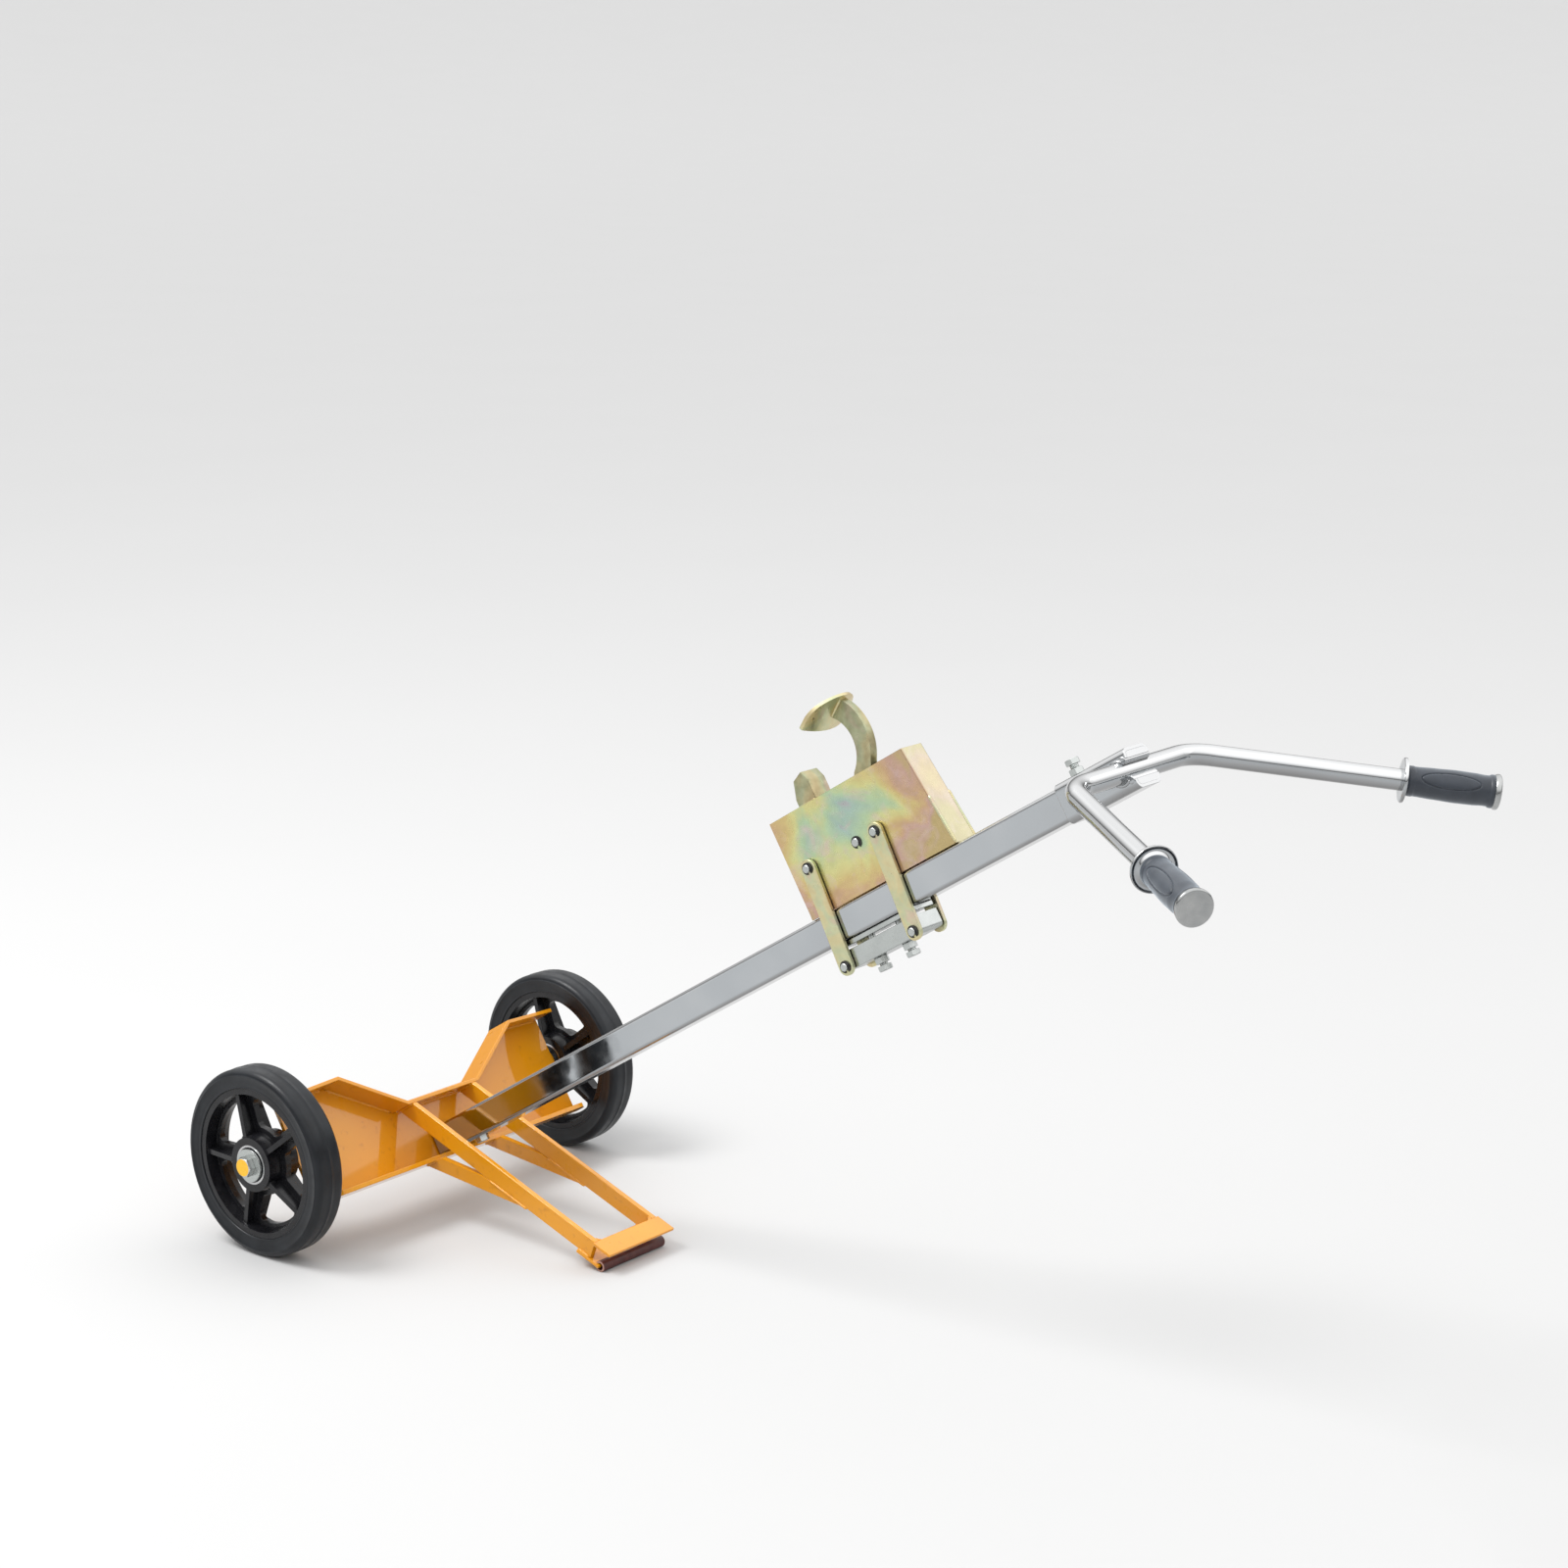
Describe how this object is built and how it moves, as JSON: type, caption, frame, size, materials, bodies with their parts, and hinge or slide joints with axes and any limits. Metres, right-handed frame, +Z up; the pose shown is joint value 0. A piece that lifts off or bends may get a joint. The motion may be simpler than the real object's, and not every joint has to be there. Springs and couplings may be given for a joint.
{
  "type": "drum truck",
  "caption": "Hand truck for open-top drums: painted cross beam with a cradle and prop stand, iron wheels, chromed mast with a splayed handle, and a sliding rim clamp.",
  "frame": {"origin": "on the floor under the middle of the whole object, parked on its wheels and foot", "axes": "+X towards the handle, +Y to the operator's right-hand wheel as read facing the drum, +Z up"},
  "size_m": [1.5415, 0.6804, 0.792],
  "materials": {
    "yellow_paint": "gloss",
    "chrome": "polished",
    "yellow_zinc": "yellow passivated zinc",
    "silver_zinc": "zinc plated",
    "spring_steel": "blackened",
    "black_casting": "black gloss enamel",
    "tyre_rubber": "moulded",
    "sleeve_rubber": "matt",
    "grip_rubber": "matt",
    "grip_steel": "zinc plated",
    "bearing_steel": "ground"
  },
  "bodies": {
    "truck_frame": {"cross_beam": "yellow_paint", "cradle_strip": "yellow_paint", "axle": "yellow_paint", "left_axle_boss": "yellow_paint", "right_axle_boss": "yellow_paint", "axle_washers": "silver_zinc", "end_washers": "silver_zinc", "wheel_bolts": "yellow_paint", "bearing_inner_rings": "bearing_steel", "left_leg": "yellow_paint", "right_leg": "yellow_paint", "left_strut": "yellow_paint", "right_strut": "yellow_paint", "foot_plate": "yellow_paint", "foot_lip": "yellow_paint", "foot_sleeve": "sleeve_rubber", "mast_spigot": "yellow_paint", "mast": "chrome", "mast_bolt": "silver_zinc", "handle_socket": "chrome", "socket_end_plates": "chrome", "socket_bolt": "silver_zinc", "socket_nut": "silver_zinc", "handlebar": "chrome", "left_grip_flange": "grip_steel", "right_grip_flange": "grip_steel", "left_grip": "grip_rubber", "right_grip": "grip_rubber", "left_grip_cap": "grip_steel", "right_grip_cap": "grip_steel"},
    "left_roller": {"left_wheel": "black_casting", "left_tyre": "tyre_rubber", "left_bearing_outer_rings": "bearing_steel", "left_bearing_balls": "bearing_steel", "left_bearing_seals": "tyre_rubber"},
    "right_roller": {"right_wheel": "black_casting", "right_tyre": "tyre_rubber", "right_bearing_outer_rings": "bearing_steel", "right_bearing_balls": "bearing_steel", "right_bearing_seals": "tyre_rubber"},
    "carriage": {"carriage_box": "yellow_zinc", "lower_jaw": "yellow_zinc", "hook_stop_bar": "yellow_zinc", "hook_pin": "silver_zinc", "hook_circlips": "spring_steel", "hook_spacers": "yellow_zinc", "upper_link_pins": "silver_zinc", "upper_link_circlips": "spring_steel"},
    "beak": {"hook_arm": "yellow_zinc", "hook_lip": "yellow_zinc"},
    "front_links": {"front_link_left": "yellow_zinc", "front_link_right": "yellow_zinc"},
    "rear_links": {"rear_link_left": "yellow_zinc", "rear_link_right": "yellow_zinc"},
    "clamp": {"clamp_bar": "silver_zinc", "lower_link_pins": "silver_zinc", "lower_link_circlips": "spring_steel", "lock_nuts": "silver_zinc"},
    "pressure_shoe": {"clamp_shoe": "silver_zinc", "adjusting_bolts": "silver_zinc"}
  },
  "joints": [
    {"name": "left_wheel_spin", "type": "hinge", "parent": "truck_frame", "child": "left_roller", "pos_m": [-0.64618, -0.28, 0.125], "axis": [0, 1, 0], "continuous": true},
    {"name": "right_wheel_spin", "type": "hinge", "parent": "truck_frame", "child": "right_roller", "pos_m": [-0.64618, 0.28, 0.125], "axis": [0, 1, 0], "continuous": true},
    {"name": "carriage_slide", "type": "slide", "parent": "truck_frame", "child": "carriage", "axis": [0.849, 0, 0.5284], "range_m": [-0.6, 0.155]},
    {"name": "beak_swing", "type": "hinge", "parent": "carriage", "child": "beak", "pos_m": [0.11242, 0, 0.62074], "axis": [0, 1, 0], "range_deg": [0, 24]},
    {"name": "front_link_swing", "type": "hinge", "parent": "carriage", "child": "front_links", "pos_m": [0.0445, 0, 0.57847], "axis": [0, -1, 0], "range_deg": [0, 8.2]},
    {"name": "rear_link_swing", "type": "hinge", "parent": "carriage", "child": "rear_links", "pos_m": [0.14298, 0, 0.63977], "axis": [0, -1, 0], "range_deg": [0, 8.2]},
    {"name": "clamp_swing", "type": "hinge", "parent": "front_links", "child": "clamp", "pos_m": [0.10281, 0, 0.46788], "axis": [0, -1, 0], "range_deg": [-8.2, 0]},
    {"name": "shoe_adjust", "type": "slide", "parent": "clamp", "child": "pressure_shoe", "axis": [-0.5284, 0, 0.849], "range_m": [-0.004, 0]}
  ],
  "couplings": [
    {"joint": "rear_link_swing", "follows": "front_link_swing", "ratio": 1},
    {"joint": "clamp_swing", "follows": "front_link_swing", "ratio": -1}
  ]
}
